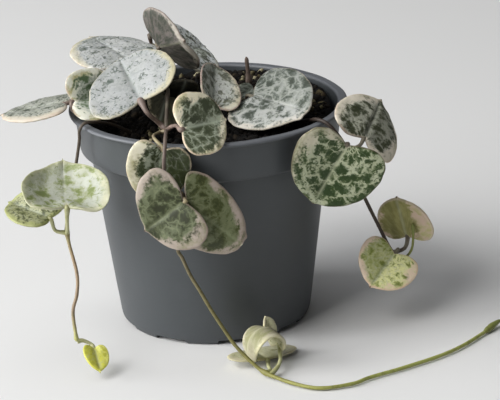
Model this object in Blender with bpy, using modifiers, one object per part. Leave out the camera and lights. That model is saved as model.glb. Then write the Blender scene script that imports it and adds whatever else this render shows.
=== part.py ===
"""Potted string of hearts: a trailing succulent with paired heart leaves in a small nursery pot.

The pot stands on its feet with its axis upright.  Short stems leave the soil, three of them
run over the rim as trailing vines, and every leaf joins a stem at a node by its own stalk.
Lengths in the named values are millimetres and angles are degrees.
"""
import math

import bmesh
import bpy
from mathutils import Matrix, Vector, noise

for old in list(bpy.data.objects):
    bpy.data.objects.remove(old, do_unlink=True)

MM = 0.001

# The foliage spreads further to the right and front than the pot, so the pot's axis stands
# off the middle of the whole plant.
POT_AXIS = (-8.7, 8.9)

# Pot: a thin shell with a stepped rim band and a ring of feet.
POT_HEIGHT = 51.2
WALL = 0.9
LIP_RADIUS = 32.0
LIP_THICK = 0.8
BAND_TOP_RADIUS = 30.7
BAND_LOW_RADIUS = 29.7
BAND_LOW_Z = 41.7
BODY_TOP_RADIUS = 27.5
BODY_LOW_RADIUS = 22.4
BODY_LOW_Z = 2.1
FOOT_RADIUS = 21.6
FOOT_WIDTH = 2.6
BASE_Z = 1.3
FOOT_COUNT = 9
FOOT_GAP_ANGLE = 20.0
FIRST_GAP_ANGLE = -78.8
FOOT_GAP_HEIGHT = 1.0
DRAIN_HOLE_RADIUS = 2.4
DRAIN_RING_RADIUS = 13.0
DRAIN_HOLES = 6
POT_STEPS = 54

# Soil: a plug that fills the pot to a few millimetres under the lip.
SEAT_GAP = 0.3
SOIL_Z = 46.4
SOIL_LUMP = 1.1
SOIL_STEPS = 36

# Growth.
VINE_RADIUS = 0.5
NODE_SWELL = 1.5
STALK_RADIUS = 0.42
LEAF_THICK = 1.0
LOBES = 0.42
HEART_MIDDLE = 0.40
TIP_SLIM = 0.30
TIP_POINT = 0.06
TIP_SPREAD = 0.12
CREASE = 0.05
ROUTE_STEP = 2.4


def collection(name):
    """Make a collection under the scene."""
    made = bpy.data.collections.new(name)
    bpy.context.scene.collection.children.link(made)
    return made


PLANT = collection("potted_string_of_hearts")
CUTTERS = collection("cutters")

POT_EMPTY = bpy.data.objects.new("pot_axis", None)
POT_EMPTY.location = (POT_AXIS[0] * MM, POT_AXIS[1] * MM, 0)
PLANT.objects.link(POT_EMPTY)


def material(name, colour, roughness):
    """A plain Principled material."""
    made = bpy.data.materials.new(name)
    made.use_nodes = True
    shader = made.node_tree.nodes["Principled BSDF"]
    shader.inputs["Base Color"].default_value = (*colour, 1)
    shader.inputs["Roughness"].default_value = roughness
    return made


POT_PLASTIC = material("pot_plastic", (0.10, 0.11, 0.12), 0.45)
SOIL_MIX = material("soil_mix", (0.03, 0.025, 0.02), 0.95)
LEAF_SILVER = material("leaf_silver", (0.55, 0.62, 0.56), 0.45)
LEAF_GREEN = material("leaf_green", (0.16, 0.25, 0.12), 0.42)
LEAF_YOUNG = material("leaf_young", (0.52, 0.58, 0.28), 0.45)
STEM_BROWN = material("stem_brown", (0.16, 0.12, 0.09), 0.55)
STEM_OLIVE = material("stem_olive", (0.30, 0.31, 0.12), 0.50)


def add(name, mesh, coat, home=PLANT):
    """Link a mesh as a named object that rides on the pot's axis."""
    made = bpy.data.objects.new(name, mesh)
    home.objects.link(made)
    mesh.materials.clear()
    mesh.materials.append(coat)
    made.parent = POT_EMPTY
    return made


def turned(name, profile, steps, coat):
    """Turn a closed profile, given from the axis up the outside and back, round Z."""
    mesh = bpy.data.meshes.new(name)
    points = [(r * MM, 0, z * MM) for r, z in reversed(profile)]
    edges = [(i, i + 1) for i in range(len(points) - 1)]
    mesh.from_pydata(points, edges, [])
    made = add(name, mesh, coat)
    screw = made.modifiers.new("turn", "SCREW")
    screw.steps = steps
    screw.render_steps = steps
    screw.use_merge_vertices = True
    screw.merge_threshold = 0.00001
    screw.use_normal_calculate = True
    return made


def baked(source, name, coat, home=PLANT):
    """Replace an object by its evaluated mesh with its open caps welded."""
    bpy.context.view_layer.update()
    seen = source.evaluated_get(bpy.context.evaluated_depsgraph_get())
    mesh = bpy.data.meshes.new_from_object(seen)
    work = bmesh.new()
    work.from_mesh(mesh)
    bmesh.ops.remove_doubles(work, verts=work.verts, dist=0.000005)
    bmesh.ops.recalc_face_normals(work, faces=work.faces)
    work.to_mesh(mesh)
    work.free()
    bpy.data.objects.remove(source, do_unlink=True)
    return add(name, mesh, coat, home)


def subtract(target, cutter):
    """Cut one object with another, which stays as a hidden guide."""
    cutter.hide_render = True
    cutter.display_type = "WIRE"
    cut = target.modifiers.new("cut", "BOOLEAN")
    cut.operation = "DIFFERENCE"
    cut.solver = "EXACT"
    cut.object = cutter


# ---------------------------------------------------------------- pot

def pot():
    """Thin-walled pot: raised base, tapered body, stepped band, thin lip turned outwards."""
    taper = (BODY_TOP_RADIUS - BODY_LOW_RADIUS) / (BAND_LOW_Z - BODY_LOW_Z)
    inner_floor = BASE_Z + WALL
    inner_low = BODY_LOW_RADIUS - WALL + taper * (inner_floor + 0.9 - BODY_LOW_Z)
    profile = [
        (0, BASE_Z),
        (FOOT_RADIUS - FOOT_WIDTH, BASE_Z),
        (FOOT_RADIUS - FOOT_WIDTH, 0),
        (FOOT_RADIUS, 0),
        (BODY_LOW_RADIUS - 0.2, BODY_LOW_Z - 0.9),
        (BODY_LOW_RADIUS, BODY_LOW_Z),
        (BODY_TOP_RADIUS, BAND_LOW_Z - 0.4),
        (BODY_TOP_RADIUS + 0.4, BAND_LOW_Z),
        (BAND_LOW_RADIUS - 0.3, BAND_LOW_Z),
        (BAND_LOW_RADIUS, BAND_LOW_Z + 0.3),
        (BAND_TOP_RADIUS, POT_HEIGHT - LIP_THICK),
        (LIP_RADIUS - 0.2, POT_HEIGHT - LIP_THICK),
        (LIP_RADIUS, POT_HEIGHT - 0.4),
        (LIP_RADIUS - 0.3, POT_HEIGHT),
        (BAND_TOP_RADIUS - WALL + 0.3, POT_HEIGHT),
        (BAND_TOP_RADIUS - WALL, POT_HEIGHT - 0.3),
        (BAND_LOW_RADIUS - WALL, BAND_LOW_Z + WALL),
        (BODY_TOP_RADIUS - WALL, BAND_LOW_Z + 0.3),
        (inner_low, inner_floor + 0.9),
        (inner_low - 0.9, inner_floor),
        (0, inner_floor),
    ]
    body = turned("pot", profile, POT_STEPS, POT_PLASTIC)
    subtract(body, foot_gaps())
    subtract(body, drain_holes())
    return body


def foot_gaps():
    """Blocks that split the foot ring into separate feet."""
    work = bmesh.new()
    for step in range(FOOT_COUNT):
        angle = math.radians(FIRST_GAP_ANGLE + step * 360 / FOOT_COUNT)
        width = 2 * FOOT_RADIUS * math.tan(math.radians(FOOT_GAP_ANGLE / 2))
        depth = FOOT_WIDTH + 4
        place = (
            Matrix.Rotation(angle, 4, "Z")
            @ Matrix.Translation((FOOT_RADIUS * MM, 0, 0))
            @ Matrix.Diagonal((depth * MM, width * MM, 2 * FOOT_GAP_HEIGHT * MM, 1))
        )
        bmesh.ops.create_cube(work, size=1, matrix=place)
    mesh = bpy.data.meshes.new("foot_gaps")
    work.to_mesh(mesh)
    work.free()
    return add("foot_gaps", mesh, POT_PLASTIC, CUTTERS)


def drain_holes():
    """Round holes through the base: one in the middle and a ring of them."""
    work = bmesh.new()
    places = [Vector((0, 0, 0))]
    for step in range(DRAIN_HOLES):
        angle = 2 * math.pi * step / DRAIN_HOLES
        places.append(Vector((math.cos(angle), math.sin(angle), 0)) * DRAIN_RING_RADIUS)
    for place in places:
        bmesh.ops.create_cone(
            work, cap_ends=True, segments=20, depth=6 * MM,
            radius1=DRAIN_HOLE_RADIUS * MM, radius2=DRAIN_HOLE_RADIUS * MM,
            matrix=Matrix.Translation(place * MM + Vector((0, 0, BASE_Z * MM))),
        )
    mesh = bpy.data.meshes.new("drain_holes")
    work.to_mesh(mesh)
    work.free()
    return add("drain_holes", mesh, POT_PLASTIC, CUTTERS)


# ---------------------------------------------------------------- soil

def soil_height(x, y):
    """Height of the lumpy soil surface, in millimetres, at a place from the pot's axis."""
    broad = noise.noise(Vector((x * 0.11, y * 0.11, 3.7)))
    fine = noise.noise(Vector((x * 0.33, y * 0.33, 9.1)))
    return SOIL_Z + SOIL_LUMP * (broad + 0.5 * fine)


def soil():
    """Plug of potting mix with a gap to the pot's wall and an uneven top."""
    floor_z = BASE_Z + WALL + SEAT_GAP
    taper = (BODY_TOP_RADIUS - BODY_LOW_RADIUS) / (BAND_LOW_Z - BODY_LOW_Z)
    low = BODY_LOW_RADIUS - WALL - 2 * SEAT_GAP + taper * (floor_z + 1.2 - BODY_LOW_Z)
    step_r = BODY_TOP_RADIUS - WALL - 2 * SEAT_GAP
    top_r = BAND_LOW_RADIUS - WALL - 1.5 * SEAT_GAP
    profile = [
        (0, floor_z),
        (low - 1.2, floor_z),
        (low, floor_z + 1.2),
        (step_r, BAND_LOW_Z),
        (step_r, BAND_LOW_Z + WALL + SEAT_GAP),
        (top_r, BAND_LOW_Z + WALL + 2 * SEAT_GAP),
        (top_r, SOIL_Z - 0.6),
    ]
    rings = 9
    for ring in range(rings, -1, -1):
        profile.append(((top_r - 0.4) * ring / rings, SOIL_Z))
    lathe = turned("soil_lathe", profile, SOIL_STEPS, SOIL_MIX)
    plug = baked(lathe, "soil", SOIL_MIX)
    for vertex in plug.data.vertices:
        if vertex.co.z > (SOIL_Z - 0.1) * MM:
            place = vertex.co / MM
            vertex.co.z = soil_height(place.x, place.y) * MM
    return plug


# ---------------------------------------------------------------- stems

def smooth_route(points, step=ROUTE_STEP):
    """Evenly spaced points of a Catmull-Rom curve through the route's own points."""
    pts = [Vector(p) for p in points]
    pts = [pts[0] * 2 - pts[1]] + pts + [pts[-1] * 2 - pts[-2]]
    fine = []
    for i in range(1, len(pts) - 2):
        a, b, c, d = pts[i - 1 : i + 3]
        for k in range(16):
            t = k / 16
            fine.append(
                0.5 * (2 * b + (c - a) * t + (2 * a - 5 * b + 4 * c - d) * t * t
                       + (3 * b - a - 3 * c + d) * t * t * t)
            )
    fine.append(pts[-2])
    length = sum((q - p).length for p, q in zip(fine, fine[1:]))
    count = max(2, round(length / step))
    out = [fine[0]]
    walked = 0.0
    for p, q in zip(fine, fine[1:]):
        gap = (q - p).length
        while len(out) < count and walked + gap >= length / count * len(out):
            part = (length / count * len(out) - walked) / gap
            out.append(p.lerp(q, part))
        walked += gap
    out.append(fine[-1])
    return out


def tube(name, points, radii, coat, sides):
    """A round rod along a list of points, with closed ends."""
    curve = bpy.data.curves.new(name, "CURVE")
    curve.dimensions = "3D"
    curve.bevel_depth = MM
    curve.bevel_resolution = sides
    curve.use_fill_caps = True
    spline = curve.splines.new("POLY")
    spline.points.add(len(points) - 1)
    for slot, place, radius in zip(spline.points, points, radii):
        slot.co = (*(place * MM), 1)
        slot.radius = radius
    rod = bpy.data.objects.new(name + "_path", curve)
    CUTTERS.objects.link(rod)
    return baked(rod, name, coat)


STEM_RUN = []


def vine(name, route, nodes, coat, tip_radius=VINE_RADIUS, root_radius=VINE_RADIUS):
    """A stem along a route that swells where its leaf pairs join."""
    points = smooth_route(route)
    radii = []
    for i, place in enumerate(points):
        share = i / (len(points) - 1)
        radius = root_radius + (tip_radius - root_radius) * share
        near = min(((place - Vector(n)).length for n in nodes), default=99)
        swell = (NODE_SWELL - 1) * max(0, 1 - near / ROUTE_STEP)
        radii.append(radius * (1 + swell))
        if i:
            STEM_RUN.append((points[i - 1], place, max(radii[-2:])))
    return tube(name, points, radii, coat, 2)


def stem_near(place):
    """Nearest point on any stem's middle line, with the stem's way and radius there."""
    found = []
    for start, end, radius in STEM_RUN:
        way = end - start
        share = min(1, max(0, (place - start).dot(way) / way.length_squared))
        point = start + way * share
        found.append(((point - place).length, point, way.normalized(), radius))
    return min(found, key=lambda one: one[0])[1:]


# ---------------------------------------------------------------- leaves

def heart_outline(turn, width, length, lobes):
    """Edge of a flat heart: turn 0 is the tip, pi is the notch, where the stalk joins."""
    s, c = math.sin(turn), math.cos(turn)
    slim = abs(s) ** (1 + TIP_SLIM * max(c, 0))
    x = width / 2 * math.copysign(slim, s) * (1 - 0.06 * c)
    y = length * ((1 + c) / 2 - lobes * abs(s) ** 0.9 * (1 - c) / 2)
    return x, y


def heart_point(u, v, width, length, lobes):
    """Carry a point of the square -1..1 to the flat heart."""
    x = u * math.sqrt(1 - v * v / 2)
    y = v * math.sqrt(1 - u * u / 2)
    reach = math.hypot(x, y)
    turn = math.atan2(x, y)
    edge_x, edge_y = heart_outline(turn, width, length, lobes)
    middle = HEART_MIDDLE * length
    tip = TIP_POINT * length * math.exp(-((turn / TIP_SPREAD) ** 2)) * reach ** 6
    return reach * edge_x, middle + reach * (edge_y - middle) + tip


def bend(x, y, width, length, fold, curl):
    """Fold the two halves up at the midrib, and curl the sheet from notch to tip."""
    crease = CREASE * width
    rise = math.sin(math.radians(fold)) * (math.hypot(x, crease) - crease)
    turn = math.radians(curl) / length or 1e-6
    return Vector((
        x * math.cos(math.radians(fold)),
        math.sin(turn * y) / turn - rise * math.sin(turn * y),
        (1 - math.cos(turn * y)) / turn + rise * math.cos(turn * y),
    ))


def leaf_axes(heading, pitch, roll):
    """Rotation whose Y runs from notch to tip and whose Z is the leaf's upper side."""
    h, p = math.radians(heading), math.radians(pitch)
    along = Vector((math.cos(p) * math.cos(h), math.cos(p) * math.sin(h), math.sin(p)))
    across = Vector((math.sin(h), -math.cos(h), 0))
    up = across.cross(along)
    base = Matrix((across, along, up)).transposed()
    return base @ Matrix.Rotation(math.radians(roll), 3, "Y").inverted()


def blade(name, at, turn, width, length, coat, fold, curl, lobes, cells, thick):
    """Heart-shaped sheet with its notch at a place, bent and given its thickness."""
    work = bmesh.new()
    bmesh.ops.create_grid(work, x_segments=cells, y_segments=cells, size=1)
    for vertex in work.verts:
        x, y = heart_point(vertex.co.x, vertex.co.y, width, length, lobes)
        vertex.co = bend(x, y, width, length, fold, curl) * MM
    mesh = bpy.data.meshes.new(name)
    work.to_mesh(mesh)
    work.free()
    made = add(name, mesh, coat)
    made.matrix_basis = Matrix.Translation(at * MM) @ turn.to_4x4()
    skin = made.modifiers.new("skin", "SOLIDIFY")
    skin.thickness = thick * MM
    skin.offset = 0
    skin.use_even_offset = True
    return made


def join(target, other):
    """Make another object part of one object; it stays as a hidden guide."""
    PLANT.objects.unlink(other)
    CUTTERS.objects.link(other)
    other.hide_render = True
    other.display_type = "WIRE"
    union = target.modifiers.new("join", "BOOLEAN")
    union.operation = "UNION"
    union.solver = "EXACT"
    union.object = other


def leaf(name, at, heading, pitch, roll, width, length, joins, coat,
         fold=8, curl=0, lobes=LOBES, via=None, cells=8, thick=LEAF_THICK):
    """One heart leaf with its stalk.

    at is the notch, and heading and pitch give the way the tip points.
    joins is the place on the stem, and via a place that the stalk bows through.
    """
    turn = leaf_axes(heading, pitch, roll)
    at = Vector(at)
    made = blade(name, at, turn, width, length, coat, fold, curl, lobes, cells, thick)
    root = at + turn @ Vector((0, 1.2, 0))
    reach = (Vector(joins) - at).length
    middle = Vector(via) if via else at + turn @ Vector((0, -0.4 * reach, -0.15 * reach))
    joins, way, girth = stem_near(Vector(joins))
    side = (middle - joins) - way * (middle - joins).dot(way)
    side.normalize()
    end = joins + side * (girth + SEAT_GAP + 0.05)
    square_on = [joins + side * (girth + 1.4)] if (middle - end).length > 3 else []
    path = [root, at + turn @ Vector((0, -0.5, -0.1)), middle, *square_on, end]
    points = smooth_route(path, step=1.7)
    stalk = tube(name + "_stalk", points, [STALK_RADIUS] * len(points), coat, 1)
    join(made, stalk)
    return made


# ---------------------------------------------------------------- the plant's plan

FRONT_NODE = (-9.2, -18.5, 51.0)
FRONT_NODE_2 = (-9.1, -22.0, 51.7)
FRONT_LOW_NODE = (-5.6, -33.0, 40.0)
FOOT_NODE = (11.0, -41.3, 1.1)
LEFT_NODE = (-29.6, -7.0, 52.4)
DROP_NODE = (-32.2, -24.0, 29.4)
LEFT_END = (-30.8, -33.5, 7.0)
CROWN_LOW = (-12.5, 2.0, 53.0)
CROWN_TOP = (-13.4, 19.0, 62.3)
INNER_NODE = (-1.5, -7.0, 50.5)
RIGHT_NODE = (9.2, -4.0, 51.0)
RIM_NODE = (31.0, -19.3, 44.5)
RIGHT_END = (41.4, -4.5, 14.1)


def stems():
    """Every stem, from the soil to its growing end."""
    vine("vine_left", [
        (-17.5, -9.0, 47.5), (-22.0, -12.0, 50.6), (-26.8, -16.4, 52.5), (-28.5, -17.0, 51.0),
        (-28.8, -15.9, 48.2), (-29.8, -15.7, 43.0), (-31.5, -19.0, 35.3), DROP_NODE,
        (-30.3, -28.0, 21.3), (-30.4, -30.0, 17.0), (-31.4, -31.6, 13.2), LEFT_END,
    ], [DROP_NODE, LEFT_END], STEM_BROWN, tip_radius=0.45)
    vine("vine_front", [
        (-9.3, -13.5, 48.0), FRONT_NODE, FRONT_NODE_2, (-9.0, -27.0, 52.8), (-9.0, -31.8, 53.2),
        (-9.2, -34.3, 51.2), (-9.5, -34.6, 47.2), (-8.6, -34.0, 43.2), FRONT_LOW_NODE,
        (-6.6, -32.6, 34.0), (-7.5, -32.2, 27.9), (-6.5, -32.5, 25.5), (-4.9, -33.5, 21.8),
        (-2.8, -34.5, 18.2), (-0.7, -35.5, 14.4), (2.4, -36.4, 9.2), (4.7, -37.6, 6.0),
        (8.0, -39.4, 2.9), FOOT_NODE, (16.7, -46.3, 0.7), (22.5, -49.2, 0.6),
        (29.6, -47.6, 0.6), (33.7, -44.5, 0.6), (41.0, -40.2, 0.6), (49.8, -34.2, 0.6),
        (55.6, -28.8, 0.6), (61.4, -21.4, 0.6),
    ], [FRONT_NODE, FRONT_LOW_NODE, FOOT_NODE], STEM_OLIVE, tip_radius=0.42)
    vine("vine_right", [
        (7.0, -5.0, 47.7), RIGHT_NODE, (15.5, -9.5, 49.4), (22.0, -13.0, 50.6),
        (27.0, -18.0, 52.8), (29.0, -20.4, 51.2), (29.8, -20.8, 48.0), RIM_NODE,
        (32.4, -15.2, 38.0), (35.2, -9.5, 29.5), (38.2, -6.0, 21.8), RIGHT_END,
    ], [RIGHT_NODE, RIM_NODE, RIGHT_END], STEM_BROWN)
    vine("stem_rim_left", [
        (-21.0, -3.5, 48.0), (-25.5, -5.0, 50.6), LEFT_NODE,
    ], [LEFT_NODE], STEM_BROWN)
    vine("stem_crown_left", [
        (-7.5, 1.5, 47.8), (-10.0, 1.5, 49.6), CROWN_LOW,
    ], [CROWN_LOW], STEM_BROWN)
    vine("stem_crown_back", [
        (-7.5, 13.0, 47.6), (-10.0, 17.0, 52.0), (-12.4, 19.0, 57.0), CROWN_TOP,
    ], [CROWN_TOP], STEM_BROWN)
    vine("stem_inner", [
        (-1.0, -2.0, 47.7), (-1.5, -4.5, 48.9), INNER_NODE,
    ], [INNER_NODE], STEM_BROWN)
    vine("stem_stub", [
        (9.8, 8.0, 47.4), (9.6, 8.0, 53.0), (9.2, 8.0, 59.2),
    ], [], STEM_BROWN, root_radius=0.6, tip_radius=0.6)
    vine("shoot_right", [
        (42.7, -4.8, 13.2), (44.8, -5.0, 13.4), (46.0, -5.6, 15.6), (46.3, -6.0, 18.8),
        (46.2, -6.2, 21.8),
    ], [], STEM_OLIVE, root_radius=0.38, tip_radius=0.34)
    tip_bud()


def tip_bud():
    """Slim closed bud at the end of the front vine."""
    path = [(61.9, -20.8, 0.8), (63.0, -19.3, 0.95), (64.2, -17.8, 1.1), (65.3, -16.5, 1.2)]
    points = smooth_route(path, step=0.8)
    count = len(points) - 1
    radii = [0.42 + 0.38 * math.sin(math.pi * (i / count) ** 0.8) for i in range(count + 1)]
    tube("tip_bud", points, radii, STEM_OLIVE, 2)


def crown_leaves():
    """Leaves over the pot, from the left round to the right."""
    leaf("leaf_crown_front", (-14.6, -17.3, 57.5), 108, 18, 29, 22.0, 16.1, FRONT_NODE,
         LEAF_SILVER, fold=7)
    leaf("leaf_crown_back", (-17.8, 5.5, 59.9), 124, 7, -2, 22.1, 16.9, CROWN_LOW,
         LEAF_SILVER, fold=-1)
    leaf("leaf_rim_left_in", (-30.0, -8.6, 55.1), 34, -3, -56, 14.6, 12.1, LEFT_NODE,
         LEAF_GREEN, fold=30, via=(-30.4, -9.6, 53.4))
    leaf("leaf_rim_left_out", (-32.5, -6.9, 54.2), 166, -13, 0, 18.0, 15.1, (-28.2, -6.3, 51.8),
         LEAF_SILVER, fold=-2, via=(-29.9, -6.2, 54.3))
    leaf("leaf_crown_tall", (-10.5, 2.6, 64.2), -64, 18, 61, 18.5, 14.0, CROWN_TOP,
         LEAF_GREEN, fold=15, via=(-12.4, 12.5, 66.8))
    leaf("leaf_crown_tall_back", (-6.1, 7.6, 60.4), 63, -7, -39, 16.6, 12.3, (-12.8, 19.0, 59.6),
         LEAF_GREEN, fold=11, via=(-9.4, 13.0, 63.2))
    leaf("leaf_inner_right", (1.3, -9.9, 53.8), 87, 33, -38, 13.1, 11.2, INNER_NODE,
         LEAF_SILVER, fold=31, cells=6)
    leaf("leaf_inner_dark", (-7.1, -8.0, 54.2), -58, 53, 14, 9.8, 7.8, INNER_NODE,
         LEAF_GREEN, fold=5, cells=6)
    leaf("leaf_shade", (-8.7, -14.0, 56.8), 124, -63, -65, 10.2, 7.8, FRONT_NODE,
         LEAF_GREEN, fold=2, cells=6)
    leaf("leaf_soil_right", (10.6, -5.7, 53.8), -41, -3, -27, 20.3, 15.6, RIGHT_NODE,
         LEAF_SILVER, fold=4, via=(9.0, -4.2, 53.6))
    leaf("leaf_soil_small", (10.6, 1.0, 53.3), -143, -13, 13, 6.1, 4.7, RIGHT_NODE,
         LEAF_GREEN, fold=11, cells=6, thick=0.8)


def front_leaves():
    """Leaves that hang over the front of the pot."""
    leaf("leaf_front_upper", (-5.1, -33.0, 55.6), 33, -1, -58, 15.3, 10.8, FRONT_NODE_2,
         LEAF_GREEN, fold=19, via=(-6.6, -27.0, 54.4))
    leaf("leaf_front_back", (-9.8, -31.6, 50.4), 160, -74, 107, 14.4, 12.2, FRONT_NODE_2,
         LEAF_GREEN, fold=10, via=(-11.7, -28.6, 52.6))
    leaf("leaf_front_low_left", (-5.5, -38.6, 40.9), -180, -36, 72, 19.5, 10.3,
         (-6.2, -33.3, 41.2), LEAF_GREEN, fold=3, via=(-7.4, -36.6, 41.8))
    leaf("leaf_front_low_right", (-4.6, -37.1, 39.6), -3, -40, -75, 16.2, 14.8, (-5.8, -33.0, 38.7),
         LEAF_GREEN, fold=-18, lobes=0.66, via=(-4.4, -34.6, 39.2))


def side_leaves():
    """Leaves on the vines at the pot's two sides and at its foot."""
    leaf("leaf_drop_cup", (-31.6, -28.2, 36.9), 96, 28, -4, 19.6, 13.4, DROP_NODE,
         LEAF_YOUNG, fold=22, via=(-31.8, -27.0, 32.6))
    leaf("leaf_drop_side", (-35.9, -27.0, 34.0), 145, 8, 19, 14.5, 11.2, DROP_NODE,
         LEAF_YOUNG, fold=22, via=(-34.8, -25.4, 30.2))
    leaf("leaf_left_tip", (-27.0, -34.7, 5.6), -75, -31, 12, 6.5, 5.8, LEFT_END,
         LEAF_YOUNG, fold=30, cells=6, thick=0.7)
    leaf("leaf_rim_right_fold", (34.8, -15.6, 46.3), 69, 21, -48, 17.7, 13.3, RIM_NODE,
         LEAF_GREEN, fold=-3)
    leaf("leaf_rim_right_round", (30.5, -25.1, 47.7), -179, -59, 96, 21.5, 15.0, RIM_NODE,
         LEAF_GREEN, fold=10, via=(31.0, -23.0, 46.4))
    leaf("leaf_low_right_back", (45.2, -2.9, 17.8), -133, 70, -16, 13.8, 10.9, RIGHT_END,
         LEAF_GREEN, fold=4, cells=6)
    leaf("leaf_low_right_front", (41.7, -8.9, 15.6), -133, -31, 37, 14.3, 10.2, RIGHT_END,
         LEAF_YOUNG, fold=5)
    leaf("leaf_foot_flat", (10.9, -31.6, 1.0), 103, -1, -5, 16.2, 6.6, (10.8, -41.2, 1.2),
         LEAF_YOUNG, fold=6, cells=6, thick=0.7, lobes=0.3, via=(11.7, -36.6, 1.1))
    curled = leaf("leaf_foot_curled", (13.1, -32.3, 4.2), 63, 74, 18, 10.8, 17.9,
                  (12.0, -42.1, 1.0), LEAF_YOUNG, fold=22, curl=255, lobes=0.31, thick=0.7,
                  via=(13.5, -37.6, 2.5))
    join(curled, blade("leaf_foot_lobe", Vector((12.4, -30.9, 5.6)), leaf_axes(150, 74, 15),
                       3.9, 4.6, LEAF_YOUNG, 18, 0, 0.2, 4, 0.7))


pot()
soil()
stems()
crown_leaves()
front_leaves()
side_leaves()
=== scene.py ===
import math

import bmesh
import bpy
from mathutils import Matrix, Vector


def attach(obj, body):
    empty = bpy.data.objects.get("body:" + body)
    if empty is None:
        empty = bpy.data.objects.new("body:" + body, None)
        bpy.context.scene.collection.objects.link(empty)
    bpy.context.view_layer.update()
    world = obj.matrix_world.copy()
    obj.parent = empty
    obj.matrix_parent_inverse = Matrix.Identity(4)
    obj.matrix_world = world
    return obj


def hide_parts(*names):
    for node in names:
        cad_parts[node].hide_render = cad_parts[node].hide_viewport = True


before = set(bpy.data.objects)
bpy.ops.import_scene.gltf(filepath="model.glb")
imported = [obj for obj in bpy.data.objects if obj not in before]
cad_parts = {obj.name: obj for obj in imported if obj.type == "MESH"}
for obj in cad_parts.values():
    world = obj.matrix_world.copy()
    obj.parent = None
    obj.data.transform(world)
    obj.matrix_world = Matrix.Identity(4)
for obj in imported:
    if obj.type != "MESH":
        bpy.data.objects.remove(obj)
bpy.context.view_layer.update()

# ---------------------------------------------------------------- studio
# A plain pale floor, a large soft lamp high on the left with a lower one at the left side
# and a weak one above, and the camera a little above the rim of the pot.

scene = bpy.context.scene
scene.view_settings.view_transform = "Standard"


def tint(code):
    """Linear colour of a hex code."""
    parts = [int(code[i:i + 2], 16) / 255 for i in (1, 3, 5)]
    return (*[p / 12.92 if p <= 0.04045 else ((p + 0.055) / 1.055) ** 2.4
              for p in parts], 1.0)


def blank_material(name, looks=()):
    """A material with only its Principled shader, and the tree and shader to build on."""
    made = bpy.data.materials.new(name)
    made.use_nodes = True
    shader = made.node_tree.nodes["Principled BSDF"]
    for key, value in looks:
        shader.inputs[key].default_value = value
    return made, made.node_tree, shader


def soft_lamp(name, place, aim, size, power, colour):
    """A square area lamp turned towards a point."""
    data = bpy.data.lights.new(name, "AREA")
    data.shape = "SQUARE"
    data.size = size
    data.energy = power
    data.color = colour
    lamp = bpy.data.objects.new(name, data)
    scene.collection.objects.link(lamp)
    lamp.location = place
    lamp.rotation_euler = (Vector(aim) - Vector(place)).to_track_quat("-Z", "Y").to_euler()


soft_lamp("key_lamp", (-0.80, -0.56, 0.82), (0, 0, 0.03), 0.90, 16.5, (1.0, 0.995, 0.98))
soft_lamp("side_lamp", (-1.0, -0.06, 0.30), (0, 0, 0.03), 0.50, 8.5, (1.0, 1.0, 1.0))
soft_lamp("top_lamp", (-0.15, 0.25, 1.15), (0, 0, 0.03), 0.90, 2.4, (0.99, 1.0, 1.0))

world = bpy.data.worlds.new("studio_air")
world.use_nodes = True
world.node_tree.nodes["Background"].inputs["Color"].default_value = (0.97, 0.98, 1.0, 1)
world.node_tree.nodes["Background"].inputs["Strength"].default_value = 0.08
scene.world = world

FLOOR_REACH = 4.0
FLOOR_DROP = 0.0001

floor_mesh = bpy.data.meshes.new("studio_floor")
floor_work = bmesh.new()
bmesh.ops.create_grid(floor_work, x_segments=1, y_segments=1, size=FLOOR_REACH)
floor_work.to_mesh(floor_mesh)
floor_work.free()
studio_floor = bpy.data.objects.new("studio_floor", floor_mesh)
studio_floor.location.z = -FLOOR_DROP
scene.collection.objects.link(studio_floor)
floor_paint, _, _ = blank_material("floor_paint", (
    ("Base Color", (0.78, 0.78, 0.78, 1)), ("Roughness", 0.9)))
floor_mesh.materials.append(floor_paint)

CAMERA_AIM = Vector((0.00014, 0.0089, 0.02688))
CAMERA_AWAY = 0.5627
CAMERA_HEIGHT = math.radians(19.79)
CAMERA_TILT = math.radians(-2.10)
CAMERA_LENS = 174.1

view_way = Vector((0, math.cos(CAMERA_HEIGHT), -math.sin(CAMERA_HEIGHT)))
level = Vector((1, 0, 0))
upright = level.cross(view_way)
camera_x = level * math.cos(CAMERA_TILT) + upright * math.sin(CAMERA_TILT)
camera_y = upright * math.cos(CAMERA_TILT) - level * math.sin(CAMERA_TILT)
camera_data = bpy.data.cameras.new("camera")
camera_data.lens = CAMERA_LENS
camera_data.sensor_width = 36
camera = bpy.data.objects.new("camera", camera_data)
scene.collection.objects.link(camera)
camera.matrix_world = (
    Matrix.Translation(CAMERA_AIM - view_way * CAMERA_AWAY)
    @ Matrix((camera_x, camera_y, -view_way)).transposed().to_4x4()
)
scene.camera = camera

# ---------------------------------------------------------------- pot
# The pot is one thin shell of dark grey polypropylene, injection moulded: a tapered body,
# a wider band under a flat lip, and a foot ring cut into nine feet round the drained base.


class Field:
    """A value in a node tree, so that sums of nodes read as sums."""

    def __init__(self, tree, socket):
        self.tree, self.socket = tree, socket

    __add__ = __radd__ = lambda self, other: calc("ADD", self, other)
    __sub__ = lambda self, other: calc("SUBTRACT", self, other)
    __rsub__ = lambda self, other: calc("SUBTRACT", other, self)
    __mul__ = __rmul__ = lambda self, other: calc("MULTIPLY", self, other)
    __truediv__ = lambda self, other: calc("DIVIDE", self, other)
    __pow__ = lambda self, other: calc("POWER", self, other)
    __abs__ = lambda self: calc("ABSOLUTE", self)


def plug(tree, slot, value):
    """Join a field to a socket, or set the socket's own value."""
    if isinstance(value, Field):
        tree.links.new(value.socket, slot)
    else:
        slot.default_value = value


def put(tree, kind, inputs=None, **settings):
    """Add a node with its settings and inputs."""
    made = tree.nodes.new(kind)
    for key, value in settings.items():
        setattr(made, key, value)
    for key, value in (inputs or {}).items():
        plug(tree, made.inputs[key], value)
    return made


def out(made, key=0):
    """One output of a node as a field."""
    return Field(made.id_data, made.outputs[key])


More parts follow.
